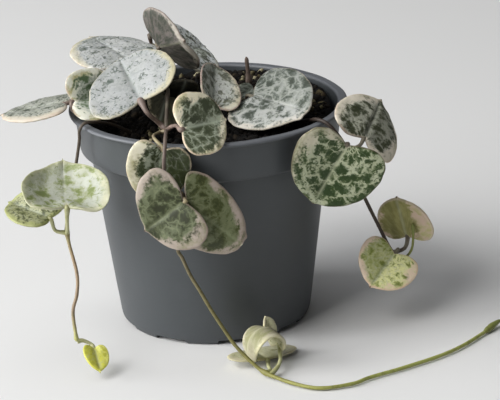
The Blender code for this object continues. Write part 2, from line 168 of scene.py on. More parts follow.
def tree_of(*values):
    """The tree that the fields among some values belong to."""
    return next(value.tree for value in values if isinstance(value, Field))


def calc(operation, *values):
    """One Math node on fields and numbers."""
    return out(put(tree_of(*values), "ShaderNodeMath", dict(enumerate(values)),
                   operation=operation))


def ease(value, low, high):
    """0 below low, 1 above high and smooth between; high may be the lower one."""
    inputs = {"Value": value, "From Min": low, "From Max": high}
    return out(put(value.tree, "ShaderNodeMapRange", inputs, interpolation_type="SMOOTHSTEP"))


def vector(x, y, z):
    """Three numbers as one vector."""
    return out(put(tree_of(x, y, z), "ShaderNodeCombineXYZ", {"X": x, "Y": y, "Z": z}))


def parts(field):
    """The X, Y and Z of a vector."""
    split = put(field.tree, "ShaderNodeSeparateXYZ", {0: field})
    return out(split, 0), out(split, 1), out(split, 2)


def cloud(field, scale, detail, rough=0.5, key=0):
    """Noise on a vector: key 0 is the number, 1 the colour."""
    inputs = {"Vector": field, "Scale": scale, "Detail": detail, "Roughness": rough}
    return out(put(field.tree, "ShaderNodeTexNoise", inputs), key)


def geo(start, kind, inputs=None, **settings):
    """Add a Geometry Nodes node to a tree, or after a shape, and take its first result."""
    if not isinstance(start, Field):
        return out(put(start, "GeometryNode" + kind, inputs, **settings))
    inputs = {0: start, **(inputs or {})}
    return out(put(start.tree, "GeometryNode" + kind, inputs, **settings))


def here(tree):
    """Each point's own place."""
    return geo(tree, "InputPosition")


def joined(*pieces):
    """Several shapes as one."""
    made = put(pieces[0].tree, "GeometryNodeJoinGeometry")
    for piece in pieces:
        plug(made.id_data, made.inputs[0], piece)
    return out(made)


MM = 0.001
WELD = 0.0005


def set_down(geometry, place):
    """A shape moved to its place and made real, its millimetres turned into metres."""
    moved = geo(geo(geometry, "Transform", {"Translation": place}), "RealizeInstances")
    return geo(moved, "Transform", {"Scale": (MM, MM, MM)})


def new_tree(name, *sockets):
    """A Geometry Nodes tree with named inputs, and a function that gives each of them.

    Every tree has a place and a coat among its inputs.
    """
    tree = bpy.data.node_groups.new(name, "GeometryNodeTree")
    side = tree.interface
    side.new_socket("Geometry", in_out="INPUT", socket_type="NodeSocketGeometry")
    side.new_socket("Geometry", in_out="OUTPUT", socket_type="NodeSocketGeometry")
    for label, kind, *value in (*sockets, ("Place", "Vector"), ("Coat", "Material")):
        made = side.new_socket(label, in_out="INPUT", socket_type="NodeSocket" + kind)
        if value:
            made.default_value = value[0]
    given = tree.nodes.new("NodeGroupInput")
    return tree, lambda key=0: out(given, key)


def finish_tree(geometry, given):
    """Set a shape down, and end its tree in Realize Instances and Set Material."""
    geometry = geo(set_down(geometry, given("Place")), "RealizeInstances")
    geometry = geo(geometry, "SetMaterial", {"Material": given("Coat")})
    plug(geometry.tree, geometry.tree.nodes.new("NodeGroupOutput").inputs[0], geometry)


def grow(name, tree, base=None, **values):
    """Run a tree on a base mesh and keep the result as a plain mesh object."""
    start = bpy.data.objects.new(name + "_start", base or bpy.data.meshes.new(name + "_start"))
    scene.collection.objects.link(start)
    shape = start.modifiers.new("shape", "NODES")
    shape.node_group = tree
    for item in tree.interface.items_tree:
        key = item.name.replace(" ", "_").lower()
        if item.in_out == "INPUT" and key in values:
            shape[item.identifier] = values[key]
    graph = bpy.context.evaluated_depsgraph_get()
    mesh = bpy.data.meshes.new_from_object(start.evaluated_get(graph))
    bpy.data.objects.remove(start, do_unlink=True)
    made = bpy.data.objects.new(name, mesh)
    mesh.name = name
    scene.collection.objects.link(made)
    return made


def polyline(name, points, **values):
    """A mesh of points joined in a row, with named numbers on its points."""
    mesh = bpy.data.meshes.new(name)
    mesh.from_pydata(points, [(i, i + 1) for i in range(len(points) - 1)], [])
    for key, numbers in values.items():
        mesh.attributes.new(key, "FLOAT", "POINT").data.foreach_set("value", numbers)
    return mesh


def rounded(profile, radius, steps=4):
    """Round a profile's corners, and hold each arc with a point just beyond it."""
    points = [Vector(profile[0])]
    for before, corner, after in zip(profile, profile[1:], profile[2:]):
        corner, before, after = Vector(corner), Vector(before), Vector(after)
        cut = min(radius, 0.4 * (corner - before).length, 0.4 * (after - corner).length)
        start = corner + (before - corner).normalized() * cut
        end = corner + (after - corner).normalized() * cut
        points.append(start + (start - corner) * 0.22)
        for i in range(steps + 1):
            t = i / steps
            points.append(start * (1 - t) ** 2 + corner * 2 * t * (1 - t) + end * t * t)
        points.append(end + (end - corner) * 0.22)
    points.append(Vector(profile[-1]))
    return [(r, 0, z) for r, z in points]


POT_AXIS = Vector((-8.7, 8.9, 0))
POT_HEIGHT = 51.2
WALL = 0.9
LIP_RADIUS = 32.0
LIP_THICK = 0.8
BAND_TOP = 30.7
BAND_LOW = 29.7
BAND_Z = 41.7
BODY_TOP = 27.5
BODY_LOW = 22.4
BODY_Z = 2.1
FOOT_RADIUS = 21.6
FOOT_WIDTH = 2.6
BASE_Z = 1.3
CORNER = 0.5
DRAIN_RING = 13.0
DRAIN_DEPTH = 8.0
SHARP_ANGLE = 32

pot_profile = rounded([
    (0, BASE_Z),
    (FOOT_RADIUS - FOOT_WIDTH, BASE_Z),
    (FOOT_RADIUS - FOOT_WIDTH, 0),
    (FOOT_RADIUS, 0),
    (BODY_LOW - 0.2, BODY_Z - 0.9),
    (BODY_LOW, BODY_Z + 0.4),
    (BODY_TOP, BAND_Z - 0.4),
    (BODY_TOP + 0.5, BAND_Z),
    (BAND_LOW - 0.3, BAND_Z),
    (BAND_LOW, BAND_Z + 0.4),
    (BAND_TOP, POT_HEIGHT - LIP_THICK),
    (LIP_RADIUS - 0.1, POT_HEIGHT - LIP_THICK),
    (LIP_RADIUS, POT_HEIGHT - 0.35),
    (LIP_RADIUS - 0.3, POT_HEIGHT),
    (BAND_TOP - WALL + 0.3, POT_HEIGHT),
    (BAND_TOP - WALL, POT_HEIGHT - 0.4),
    (BAND_LOW - WALL, BAND_Z + WALL),
    (BODY_TOP - WALL, BAND_Z + 0.3),
    (BODY_LOW - WALL, BASE_Z + WALL + 0.9),
    (BODY_LOW - WALL - 0.9, BASE_Z + WALL),
    (0, BASE_Z + WALL),
], CORNER)

pot_tree, pot_in = new_tree(
    "turned_pot",
    ("Steps", "Int", 160), ("Feet", "Int", 9), ("First Gap", "Float", -78.8),
    ("Gap Width", "Float", 7.6), ("Gap Reach", "Float", 6.6), ("Gap Height", "Float", 2.0),
    ("Drain Radius", "Float", 2.4), ("Lip Wave", "Float", 0.5),
)
rows = geo(pot_in(), "AttributeDomainSize")
columns = pot_in("Steps") + 1
wall_grid = geo(pot_tree, "MeshGrid", {"Vertices X": rows, "Vertices Y": columns})
order = geo(pot_tree, "InputIndex")
row = calc("FLOOR", (order + 0.5) / columns)
round_angle = (order - row * columns) / pot_in("Steps") * math.tau
reach_out, _, height = parts(geo(pot_in(), "SampleIndex",
                                 {"Value": here(pot_tree), "Index": row},
                                 data_type="FLOAT_VECTOR"))
lathe = geo(wall_grid, "SetPosition",
            {"Position": vector(reach_out * calc("COSINE", round_angle),
                                reach_out * calc("SINE", round_angle), height)})
shell = geo(lathe, "MergeByDistance", {"Distance": WELD})
foot_ring = geo(pot_tree, "MeshCircle", {"Vertices": pot_in("Feet"), "Radius": FOOT_RADIUS})
gap_angle = geo(pot_tree, "InputIndex") / pot_in("Feet") * math.tau
gap_block = geo(pot_tree, "MeshCube", {
    "Size": vector(pot_in("Gap Reach"), pot_in("Gap Width"), pot_in("Gap Height"))})
foot_gaps = geo(foot_ring, "InstanceOnPoints",
                {"Instance": gap_block, "Rotation": vector(0.0, 0.0, gap_angle)})
turn_gaps = geo(foot_gaps, "Transform",
                {"Rotation": vector(0.0, 0.0, pot_in("First Gap") * math.radians(1))})
drain_ring = geo(pot_tree, "MeshCircle", {"Vertices": 6, "Radius": DRAIN_RING})
drain_middle = geo(pot_tree, "Points", {"Count": 1})
drain_hole = geo(pot_tree, "MeshCylinder",
                 {"Vertices": 32, "Radius": pot_in("Drain Radius"), "Depth": DRAIN_DEPTH})
drain_cuts = [
    geo(spots, "InstanceOnPoints", {"Instance": drain_hole})
    for spots in (drain_ring, drain_middle)
]
cuts = geo(joined(turn_gaps, *drain_cuts), "RealizeInstances")
carved = geo(shell, "MeshBoolean", {1: cuts}, operation="DIFFERENCE", solver="EXACT")
pot_spot = here(pot_tree)
spot_x, spot_y, spot_z = parts(pot_spot)
loose = ease(spot_z, BAND_Z, POT_HEIGHT) * pot_in("Lip Wave")
sway = cloud(pot_spot, 0.045, 1.0)
lift = cloud(vector(spot_x, spot_y, 40.0), 0.07, 1.0)
bowed = 1 + (sway - 0.5) * loose * 0.035
warped = geo(carved, "SetPosition",
             {"Position": vector(spot_x * bowed, spot_y * bowed,
                                 spot_z + (lift - 0.5) * loose * 1.3)})
finish_tree(warped, pot_in)


def skin_spot(tree):
    """Each point's place on its object, in a material."""
    return out(put(tree, "ShaderNodeTexCoord"), "Object")


def blended(factor, first, second):
    """One colour turning into another by a factor."""
    first, second = (tint(c) if isinstance(c, str) else c for c in (first, second))
    return out(put(factor.tree, "ShaderNodeMix", {0: factor, 6: first, 7: second},
                   data_type="RGBA"), 2)


def roughen(tree, shader, strength, depth, height):
    """Fine relief of a surface, on the shader's normal."""
    relief = put(tree, "ShaderNodeBump",
                 {"Strength": strength, "Distance": depth, "Height": height})
    plug(tree, shader.inputs["Normal"], out(relief))


pot_plastic, tree, shader = blank_material("dark_grey_plastic")
spot = skin_spot(tree)
spot_x, spot_y, spot_z = parts(spot)
streaks = cloud(vector(spot_x * 260.0, spot_y * 260.0, spot_z * 1400.0), 1.0, 3.0)
smudge = cloud(spot, 60.0, 4.0, 0.6)
dust = ease(smudge, 0.48, 0.72) * 0.5 + streaks * 0.3
# The top of the lip is painted lighter: partly rubbed wear, partly a painted highlight where
# the light falls on the lip's top.
worn_and_lit_lip = ease(spot_z + (smudge - 0.5) * 0.0006, 0.0504, 0.0512)
plug(tree, shader.inputs["Base Color"],
     blended(worn_and_lit_lip * 0.75, blended(dust, "#414548", "#494d50"), "#707379"))
plug(tree, shader.inputs["Roughness"], 0.40 + smudge * 0.16)
roughen(tree, shader, 0.25, 0.0001, cloud(spot, 2600.0, 2.0, 0.6) * 0.5 + streaks * 0.5)

pot = grow("nursery_pot", pot_tree, polyline("pot_profile", pot_profile),
           place=POT_AXIS, coat=pot_plastic)
pot_work = bmesh.new()
pot_work.from_mesh(pot.data)
bmesh.ops.remove_doubles(pot_work, verts=pot_work.verts, dist=WELD * MM)
bmesh.ops.recalc_face_normals(pot_work, faces=pot_work.faces)
pot_work.to_mesh(pot.data)
pot_work.free()
pot.data.shade_smooth()
pot.data.set_sharp_from_angle(angle=math.radians(SHARP_ANGLE))
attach(pot, "root")
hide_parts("pot")

# ---------------------------------------------------------------- potting mix
# Peat and fine bark, nearly black, fill the pot to a few millimetres under its lip.  The top
# is lumpy and heaped up at the back right, with loose crumbs and clods all over it, and tan
# bits of bark, grit and dry moss lying in patches.

SOIL_Z = 47.4
SOIL_RADIUS = 28.65
SOIL_UNDER_Z = 44.6
PLUG_TOP = 26.0
PLUG_LOW = 20.6
PLUG_Z = 2.5
PLUG_HEIGHT = 42.4
PLUG_SIDES = 64


def square_grid(tree, cells):
    """A flat square grid from -1 to 1."""
    return geo(tree, "MeshGrid", {"Size X": 2.0, "Size Y": 2.0, "Vertices X": cells,
                                  "Vertices Y": cells})


def as_disk(u, v):
    """A square from -1 to 1 turned into a round disk."""
    return u * calc("SQRT", 1 - v * v * 0.5), v * calc("SQRT", 1 - u * u * 0.5)


def distance(x, y):
    """How far a point of a plane is from the plane's middle."""
    return calc("SQRT", x * x + y * y)


def uphill(x, y):
    """How far a point lies towards the heaped side."""
    return y * 0.8 + x * 0.6


soil_tree, soil_in = new_tree(
    "potting_mix",
    ("Cells", "Int", 90), ("Radius", "Float", SOIL_RADIUS), ("Level", "Float", SOIL_Z),
    ("Lump", "Float", 2.4), ("Heap", "Float", 2.9), ("Crumb Gap", "Float", 1.0),
    ("Clod Gap", "Float", 2.3), ("Bark Gap", "Float", 2.3), ("Seed", "Int", 5),
    ("Moss Spot", "Vector", (-12.8, -11.5, 0.0)), ("Mound Spot", "Vector", (23.5, 9.0, 0.0)),
)
soil_grid = square_grid(soil_tree, soil_in("Cells"))
disk_x, disk_y = as_disk(*parts(here(soil_tree))[:2])
flat_x, flat_y = disk_x * soil_in("Radius"), disk_y * soil_in("Radius")
flat_spot = vector(flat_x, flat_y, 0.0)
lumps = (cloud(flat_spot, 0.13, 2.0) - 0.5) * 1.6 + (cloud(flat_spot, 0.55, 3.0, 0.7) - 0.5)
at_wall = distance(disk_x, disk_y)
slope = ease(uphill(disk_x, disk_y), 0.12, 0.78)
crown = (soil_in("Level") + lumps * soil_in("Lump") * (1 - slope * 0.4)
         - ease(at_wall, 0.8, 1.0) * 0.9 * (1 - slope))
heap = slope * soil_in("Heap")
top_z = (crown + heap) * ease(at_wall, 1.0, 0.995) + SOIL_UNDER_Z * ease(at_wall, 0.995, 1.0)
soil_top = geo(soil_grid, "SetPosition", {"Position": vector(flat_x, flat_y, top_z)})
soil_under = geo(soil_grid, "SetPosition", {"Position": vector(flat_x, flat_y, SOIL_UNDER_Z)})
soil_under = geo(soil_under, "FlipFaces")

# Loose bits lie inside the wall, and the pale ones lie in mossy patches.
spot_x, spot_y, _ = parts(here(soil_tree))
inside_wall = ease(distance(spot_x, spot_y) / soil_in("Radius"), 0.95, 0.93)
mossy = ease(cloud(vector(spot_x, spot_y, 0.0), 0.15, 2.0) + uphill(spot_x, spot_y) * 0.006,
             0.53, 0.66)
for label, reach in (("Moss Spot", 4.5), ("Mound Spot", 7.5)):
    middle_x, middle_y, _ = parts(soil_in(label))
    away = distance(spot_x - middle_x, spot_y - middle_y)
    mossy = calc("MAXIMUM", mossy, ease(away, reach, reach - 2.0) * 0.8)


def drawn(low, high, seed):
    """A number for each copy, drawn at random between two."""
    return out(put(soil_tree, "FunctionNodeRandomValue", {2: low, 3: high, "Seed": seed},
                   data_type="FLOAT"), 1)


def scattered(spacing, seed, form, stretch, small, large, sink, tone, where=1.0):
    """Copies of one small form, turned and sized at random, lying in the soil's top."""
    spots = geo(soil_top, "DistributePointsOnFaces",
                {"Distance Min": spacing, "Density Max": 4.0,
                 "Density Factor": inside_wall * where, "Seed": seed},
                distribute_method="POISSON")
    turn = put(soil_tree, "FunctionNodeRandomValue", {
        0: (0, 0, 0), 1: (6.28, 6.28, 6.28), "Seed": seed + 1}, data_type="FLOAT_VECTOR")
    size = drawn(small, large, seed + 2)
    copies = geo(spots, "InstanceOnPoints",
                 {"Instance": form, "Rotation": out(turn),
                  "Scale": vector(size * stretch, size, size * 0.8)})
    toned = geo(copies, "StoreNamedAttribute",
                {"Name": "tone", "Value": drawn(*tone, seed + 3) + mossy * 0.2},
                data_type="FLOAT", domain="INSTANCE")
    return geo(toned, "TranslateInstances",
               {"Translation": (0, 0, -sink), "Local Space": False})


ball = geo(soil_tree, "MeshUVSphere", {"Radius": 1.0, "Segments": 6, "Rings": 4})
ball_spot = here(soil_tree)
dented = put(soil_tree, "ShaderNodeVectorMath", {
    0: ball_spot, "Scale": (cloud(ball_spot, 1.1, 2.0) - 0.5) * 1.5}, operation="SCALE")
knobbly = geo(ball, "SetPosition", {"Offset": out(dented)})
seed = soil_in("Seed")
crumbs = scattered(soil_in("Crumb Gap"), seed, knobbly, 1.25, 0.30, 0.80, 0.08, (0.0, 0.42))
clods = scattered(soil_in("Clod Gap"), seed + 20, knobbly, 1.2, 0.6, 1.35, 0.25, (0.05, 0.55))
bark = scattered(soil_in("Bark Gap"), seed + 40, knobbly, 1.7, 0.30, 0.75, -0.1,
                 (0.48, 0.92), mossy)
plain_tone = geo(soil_top, "StoreNamedAttribute", {"Name": "tone", "Value": 0.05},
                 data_type="FLOAT")
plug_cone = geo(soil_tree, "MeshCone",
                {"Vertices": PLUG_SIDES, "Radius Top": PLUG_TOP, "Radius Bottom": PLUG_LOW,
                 "Depth": PLUG_HEIGHT})
plug_cone = geo(plug_cone, "Transform", {"Translation": (0, 0, PLUG_Z)})
soil_skin = geo(joined(plain_tone, soil_under), "MergeByDistance", {"Distance": WELD})
finish_tree(joined(soil_skin, plug_cone, crumbs, clods, bark), soil_in)


def stored(tree, name, key="Fac"):
    """A value that a mesh carries, in a material."""
    return out(put(tree, "ShaderNodeAttribute", attribute_name=name), key)


def shade_row(tree, factor, shades):
    """A row of colours, each at its place, picked by a factor."""
    made = put(tree, "ShaderNodeValToRGB", {0: factor})
    ramp = made.color_ramp
    ramp.elements[0].color = tint(shades[0][1])
    ramp.elements[1].color = tint(shades[-1][1])
    for place, code in shades[1:-1]:
        ramp.elements.new(place).color = tint(code)
    return out(made)


potting_mix, tree, shader = blank_material("dark_potting_mix", (
    ("Roughness", 0.92), ("Specular IOR Level", 0.25)))
spot = skin_spot(tree)
SOIL_SHADES = ((0, "#070606"), (0.25, "#100e0c"), (0.5, "#211b15"),
               (0.66, "#443a28"), (0.82, "#7d7557"), (1, "#aca486"))
tone = stored(tree, "tone") + (cloud(spot, 900.0, 3.0) - 0.5) * 0.35
plug(tree, shader.inputs["Base Color"], shade_row(tree, tone, SOIL_SHADES))
roughen(tree, shader, 0.7, 0.0003, cloud(spot, 2200.0, 4.0, 0.7))

soil = grow("potting_mix", soil_tree, place=POT_AXIS, coat=potting_mix)
soil.data.shade_smooth()
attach(soil, "root")
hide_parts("soil")

# ---------------------------------------------------------------- stems
# Thin round stems leave the soil and swell to a small knot wherever a pair of leaves joins.
# Old wood is purple brown; the trailing ends are tan, then olive, then yellow green.


CURVE_STEPS = 24


def smooth_route(points, step):
    """Evenly spaced points of a Catmull-Rom curve through a route's own points."""
    pts = [Vector(p) for p in points]
    pts = [pts[0] * 2 - pts[1]] + pts + [pts[-1] * 2 - pts[-2]]
    fine = []
    for i in range(1, len(pts) - 2):
        a, b, c, d = pts[i - 1:i + 3]
        for k in range(CURVE_STEPS):
            t = k / CURVE_STEPS
            fine.append(0.5 * (2 * b + (c - a) * t + (2 * a - 5 * b + 4 * c - d) * t * t
                               + (3 * b - a - 3 * c + d) * t * t * t))
    fine.append(pts[-2])
    length = sum((q - p).length for p, q in zip(fine, fine[1:]))
    count = max(2, round(length / step))
    spaced, walked = [fine[0]], 0.0
    for p, q in zip(fine, fine[1:]):
        gap = (q - p).length
        while len(spaced) < count and walked + gap >= length / count * len(spaced):
            spaced.append(p.lerp(q, (length / count * len(spaced) - walked) / gap))
        walked += gap
    return spaced + [fine[-1]]


def carried(tree, name):
    """A number that the base mesh carries, in a shape's tree."""
    return geo(tree, "InputNamedAttribute", {"Name": name}, data_type="FLOAT")


def round_tube(line, sides, girth):
    """A closed round tube along a line."""
    ring = geo(line.tree, "CurvePrimitiveCircle", {"Resolution": sides, "Radius": 1.0})
    return geo(line, "CurveToMesh", {"Profile Curve": ring, "Scale": girth, "Fill Caps": True})


stem_tree, stem_in = new_tree(
    "stem_skin",
    ("Sides", "Int", 12), ("Unevenness", "Float", 0.10),
)
line = geo(stem_in(), "MeshToCurve")
uneven = 1 + (cloud(here(stem_tree), 0.9, 2.0) - 0.5) * stem_in("Unevenness") * 2.0
tube = round_tube(line, stem_in("Sides"), carried(stem_tree, "girth") * uneven)
finish_tree(geo(tube, "SetShadeSmooth"), stem_in)


def stem_bark(name, *shades_along):
    """Stem skin whose colour changes along it, with dark mottling and fine bumps."""
    made, tree, shader = blank_material(name, (("Roughness", 0.55),))
    spot = skin_spot(tree)
    mottle = cloud(spot, 700.0, 3.0, 0.6)
    shades = shade_row(tree, stored(tree, "along") + (mottle - 0.5) * 0.10, shades_along)
    plug(tree, shader.inputs["Base Color"],
         blended(ease(mottle, 0.45, 0.75) * 0.45, shades, "#2e241c"))
    roughen(tree, shader, 0.5, 0.0002, cloud(spot, 1500.0, 3.0))
    return made


PURPLE_BROWN = stem_bark("purple_brown_bark", (0, "#3d332c"), (0.5, "#5a4a41"), (1, "#4b3d35"))
# The right vine's bark is painted darker than the other old wood, darkest at its end on the
# soil: painted shade.
SHADED_BROWN = stem_bark("dark_brown_bark", (0, "#241d1a"), (0.22, "#2e2521"),
                       (0.45, "#3a2f28"), (1, "#40342a"))
LEFT_BARK = stem_bark("left_vine_bark", (0, "#4b433c"), (0.36, "#544a3e"), (0.43, "#7a7048"),
                      (0.50, "#a09c5c"), (0.62, "#9c9566"), (0.70, "#9a8468"),
                      (0.90, "#8f7d66"), (0.98, "#a9a86a"), (1, "#bcbc78"))
FRONT_BARK = stem_bark("front_vine_bark", (0, "#5f5149"), (0.22, "#6d6058"), (0.34, "#6a6148"),
                       (0.5, "#6f6a3a"), (0.6, "#8d8b46"), (0.75, "#9ca253"), (1, "#a3a85c"))
STUB_BARK = stem_bark("stub_bark", (0, "#4f423a"), (0.5, "#75645a"), (1, "#857468"))
GREEN_SHOOT = stem_bark("green_shoot", (0, "#7d823f"), (1, "#858c4c"))

VINE = 0.42
SWELL = 0.65
KNOT_REACH = 1.15
STEM_STEP = 0.45
FRONT_NODE = (-9.2, -18.5, 51.0)
FRONT_NODE_2 = (-9.1, -22.0, 51.7)
FRONT_LOW_NODE = (-5.6, -33.0, 40.0)
FOOT_NODE = (11.0, -41.3, 1.1)
LEFT_NODE = (-29.6, -7.0, 52.4)
DROP_NODE = (-32.2, -24.0, 29.4)
LEFT_END = (-30.8, -33.5, 7.0)
CROWN_LOW = (-12.5, 2.0, 53.0)
CROWN_TOP = (-13.4, 19.0, 62.3)
INNER_NODE = (-1.5, -7.0, 50.5)
RIGHT_NODE = (9.2, -4.0, 51.0)
RIM_NODE = (31.0, -19.3, 44.5)
RIGHT_END = (41.4, -4.5, 14.1)
stem_runs = []


def skin_run(piece, node, points, girths, coat, slot, **values):
    """Skin a run of points as one piece, and have it stand for a node."""
    last = len(points) - 1
    base = polyline(piece + "_run", points, girth=girths,
                    along=[i / last for i in range(last + 1)])
    made = grow(piece, stem_tree, base, place=POT_AXIS, coat=coat, **values)
    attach(made, "root")
    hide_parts(node)


def stem(name, route, knots, coat, slot, root=VINE, tip=VINE):
    """One stem along a route, thicker at its knots, with a rounded end."""
    points = smooth_route(route, STEM_STEP)
    last = len(points) - 1
    girths = []
    for i, spot in enumerate(points):
        near = min((spot - Vector(knot)).length for knot in knots)
        swell = 1 + SWELL * math.exp(-(near / KNOT_REACH) ** 2)
        blunt = math.sqrt(max(0.06, 1 - max(0, i - last + 2) ** 2 / 4.4))
        girths.append((root + (tip - root) * i / last) * swell * blunt)
        stem_runs.append((spot, girths[-1]))
    skin_run(name + "_bark", name, points, girths, coat, slot)


stem("vine_left", [
    (-17.5, -9.0, 47.5), (-22.0, -12.0, 50.6), (-26.8, -16.4, 52.5), (-28.5, -17.0, 51.0),
    (-28.8, -15.9, 48.2), (-29.8, -15.7, 43.0), (-31.5, -19.0, 35.3), DROP_NODE,
    (-30.3, -28.0, 21.3), (-30.4, -30.0, 17.0), (-31.4, -31.6, 13.2), LEFT_END,
], [DROP_NODE, LEFT_END], LEFT_BARK, "stem_brown", root=0.34, tip=0.40)
stem("vine_front", [
    (-9.3, -13.5, 48.0), FRONT_NODE, FRONT_NODE_2, (-9.0, -27.0, 52.8), (-9.0, -31.8, 53.2),
    (-9.2, -34.3, 51.2), (-9.5, -34.6, 47.2), (-8.6, -34.0, 43.2), FRONT_LOW_NODE,
    (-6.6, -32.6, 34.0), (-7.5, -32.2, 27.9), (-6.5, -32.5, 25.5), (-4.9, -33.5, 21.8),
    (-2.8, -34.5, 18.2), (-0.7, -35.5, 14.4), (2.4, -36.4, 9.2), (4.7, -37.6, 6.0),
    (8.0, -39.4, 2.9), FOOT_NODE, (16.7, -46.3, 0.7), (22.5, -49.2, 0.6),
    (29.6, -47.6, 0.6), (33.7, -44.5, 0.6), (41.0, -40.2, 0.6), (49.8, -34.2, 0.6),
    (55.6, -28.8, 0.6), (61.4, -21.4, 0.6),
], [FRONT_NODE, FRONT_LOW_NODE, FOOT_NODE], FRONT_BARK, "stem_olive", tip=0.42)
stem("vine_right", [
    (7.0, -5.0, 47.7), RIGHT_NODE, (14.5, -6.0, 49.6), (20.0, -9.8, 49.0),
    (22.8, -14.6, 50.6), (24.4, -18.5, 51.95), (26.6, -20.5, 51.5), (28.9, -20.8, 48.8),
    RIM_NODE, (32.4, -15.2, 38.0), (35.2, -9.5, 29.5), (38.2, -6.0, 21.8), RIGHT_END,
], [RIGHT_NODE, RIM_NODE, RIGHT_END], SHADED_BROWN, "stem_brown")
stem("stem_rim_left", [(-21.0, -3.5, 48.0), (-25.5, -5.0, 50.6), LEFT_NODE],
     [LEFT_NODE], PURPLE_BROWN, "stem_brown")
stem("stem_crown_left", [(-7.5, 1.5, 47.8), (-10.0, 1.5, 49.6), CROWN_LOW],
     [CROWN_LOW], PURPLE_BROWN, "stem_brown")
stem("stem_crown_back", [(-7.5, 13.0, 47.6), (-10.0, 17.0, 52.0), (-12.4, 19.0, 57.0),
                         CROWN_TOP], [CROWN_TOP], PURPLE_BROWN, "stem_brown")
stem("stem_inner", [(-1.0, -2.0, 47.7), (-1.5, -4.5, 48.9), INNER_NODE],
     [INNER_NODE], PURPLE_BROWN, "stem_brown")
stem("stem_stub", [(9.8, 8.0, 47.4), (9.6, 8.0, 53.0), (9.2, 8.0, 59.2)],
     [(9.6, 8.0, 53.6)], STUB_BARK, "stem_brown", root=0.50, tip=0.48)
stem("shoot_right", [(41.6, -4.6, 13.9), (42.7, -4.8, 13.2), (44.8, -5.0, 13.4),
                     (46.0, -5.6, 15.6), (46.3, -6.0, 18.8), (46.2, -6.2, 21.8)],
     [(46.2, -6.2, 20.9)], GREEN_SHOOT, "stem_olive", root=0.31, tip=0.27)

BUD_GIRTH = 0.34
BUD_SWELL = 0.46
BUD_END = 0.12

bud_points = smooth_route([(61.1, -21.8, 0.62), (61.9, -20.8, 0.75), (63.0, -19.3, 0.95),
                           (64.2, -17.8, 1.1), (65.3, -16.5, 1.2)], 0.2)
bud_last = len(bud_points) - 1
bud_girths = [BUD_GIRTH + BUD_SWELL * math.sin(math.pi * (i / bud_last) ** 0.75)
              for i in range(bud_last)] + [BUD_END]
skin_run("growing_tip", "tip_bud", bud_points, bud_girths, GREEN_SHOOT, "stem_olive",
         unevenness=0.2)

# ---------------------------------------------------------------- leaves
# Fleshy heart leaves about a millimetre thick, each on its own thin stalk.  They are marbled
# in silver and green with cream or pink margins, and paler and plainer underneath.

RIM_WELD = 0.01

leaf_tree, leaf_in = new_tree(
    "heart_leaf",
    ("Width", "Float", 18.0), ("Length", "Float", 14.0), ("Lobes", "Float", 0.42),
    ("Fold", "Float", 8.0), ("Curl", "Float", 0.0), ("Cup", "Float", 0.0),
    ("Thickness", "Float", 1.0), ("Ripple", "Float", 0.5), ("Seed", "Float", 1.0),
    ("Slim", "Float", 0.30), ("Tip", "Float", 0.055), ("Groove", "Float", 0.2),
    ("Tip Turn", "Float", 0.0), ("Cells", "Int", 61), ("Turn", "Vector"),
    ("Notch", "Vector"), ("Stalk Sides", "Int", 12), ("Stalk Coat", "Material"),
)
leaf_grid = square_grid(leaf_tree, leaf_in("Cells"))
u, v, _ = parts(here(leaf_tree))
square = calc("MAXIMUM", abs(u), abs(v))
denser_rim = (1 - (1 - square) ** 1.5) / calc("MAXIMUM", square, 0.0001)
disk_x, disk_y = as_disk(u * denser_rim, v * denser_rim)
reach = distance(disk_x, disk_y)
s = disk_x / calc("MAXIMUM", reach, 0.0001)
c = disk_y / calc("MAXIMUM", reach, 0.0001)

# The outline, from the sine and cosine of the way round it, with a point at the tip.
rim_spot = vector(s * 2.0, c * 2.0, leaf_in("Seed") * 3.7)
rim_wander = 1 + (cloud(rim_spot, 0.9, 2.0) - 0.5) * 0.10
slim = abs(s) ** (1 + leaf_in("Slim") * calc("MAXIMUM", c, 0.0))
edge_x = leaf_in("Width") * 0.5 * calc("SIGN", s) * slim * (1 - 0.06 * c) * rim_wander
edge_y = leaf_in("Length") * ((1 + c) * 0.5
                              - leaf_in("Lobes") * abs(s) ** 0.9 * (1 - c) * 0.5)
middle = leaf_in("Length") * 0.40
tip_aim = leaf_in("Tip Turn") * math.radians(1)
off_tip = s * calc("COSINE", tip_aim) - c * calc("SINE", tip_aim)
point = calc("EXPONENT", off_tip * off_tip * -90.0) * ease(c, 0.0, 0.2) * reach ** 8.0
flat_x = reach * edge_x + leaf_in("Tip") * leaf_in("Length") * point * calc("SINE", tip_aim)
flat_y = (middle + reach * (edge_y - middle) * rim_wander
          + leaf_in("Tip") * leaf_in("Length") * point)

# How far the face is lifted by its fold, cup and ripple, and how thick it is.
flat_spot = vector(flat_x, flat_y, leaf_in("Seed") * 9.1)
ripple = ((cloud(flat_spot, 0.10, 1.0) - 0.5) * 2.2
          + (cloud(flat_spot, 0.30, 2.0) - 0.5) * 0.8) * leaf_in("Ripple")
groove = calc("EXPONENT", flat_x * flat_x * -4.0) * ease(reach, 1.0, 0.6)
off_notch = ease(distance(flat_x, flat_y), 0.0, 0.32 * leaf_in("Length"))
crease = 0.05 * leaf_in("Width")
sine_fold = calc("SINE", leaf_in("Fold") * math.radians(1))
lifted = (sine_fold * (calc("SQRT", flat_x * flat_x + crease * crease) - crease)
          + leaf_in("Cup") * (reach * reach - 0.6) * off_notch
          + ripple * ease(reach, 0.0, 0.7) * off_notch)
half = leaf_in("Thickness") * 0.5 * calc("SQRT", calc("MAXIMUM", 1 - reach ** 15.0, 0.0))
plump = ease(abs(flat_x) / leaf_in("Width"), 0.0, 0.22) * ease(reach, 1.0, 0.55) * 0.16
curl_rate = leaf_in("Curl") * math.radians(1) / leaf_in("Length") + 0.000001
spread = flat_x * calc("COSINE", leaf_in("Fold") * math.radians(1))


